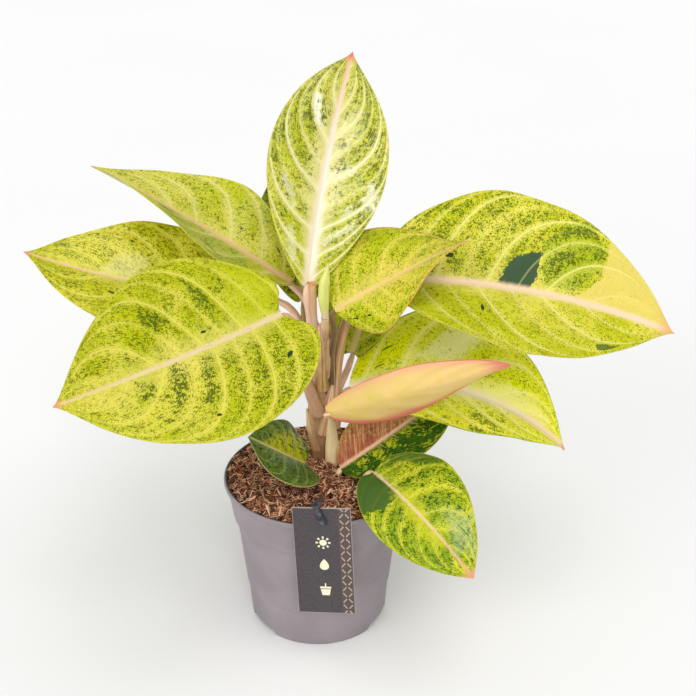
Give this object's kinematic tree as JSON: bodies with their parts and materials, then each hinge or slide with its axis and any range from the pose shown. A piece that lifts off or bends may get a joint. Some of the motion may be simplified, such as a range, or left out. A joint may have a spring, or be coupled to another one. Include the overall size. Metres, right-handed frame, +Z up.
{
  "type": "potted foliage plant",
  "caption": "Potted Chinese evergreen: broad pointed green, cream and pink leaves on a clump of sheathed stems in a tapering plastic nursery pot with soil and a plain care tag.",
  "frame": {"origin": "centre of the pot's underside, on the plane that the pot rests on", "axes": "+Z up along the pot's axis, -Y towards the tag side that faces the viewer, +X to the viewer's right, along the plant's widest spread"},
  "size_m": [0.4011, 0.2437, 0.3538],
  "materials": {
    "pot_plastic": "satin mid grey with a faint purple cast",
    "peat": "matt crumbly peat with tan fibres",
    "stem_skin": "satin pinkish beige with fine lengthwise streaks",
    "pale_shoot": "satin cream",
    "leaf_green": "glossy yellow-green with a granular green speckle, pale veins and pink midrib",
    "leaf_dark": "glossy dark green with yellow-green flecks and pale veins",
    "leaf_peach": "satin peach-yellow underside with pink margins",
    "spear_green": "satin pale yellow-green",
    "tag_card": "matt dark grey-brown printed card",
    "pin_plastic": "satin dark bluish grey"
  },
  "bodies": {
    "root": {"pot": "pot_plastic", "soil": "peat", "stems": "stem_skin", "front_shoot": "pale_shoot", "stalk_folded": "pale_shoot", "stalk_bottom_right": "pale_shoot", "stalk_soil_left": "pale_shoot", "leaf_top": "leaf_green", "leaf_upper_left": "leaf_green", "leaf_far_left": "leaf_green", "leaf_front_left": "leaf_green", "leaf_right": "leaf_green", "leaf_centre_right": "leaf_green", "leaf_lower_right": "leaf_green", "leaf_rear_right": "leaf_green", "leaf_young": "leaf_peach", "leaf_folded": "leaf_dark", "leaf_bottom_right": "leaf_dark", "leaf_soil_left": "leaf_dark", "leaf_back": "leaf_green", "spear_leaf": "spear_green", "tag": "tag_card", "tag_pin": "pin_plastic"}
  },
  "joints": []
}
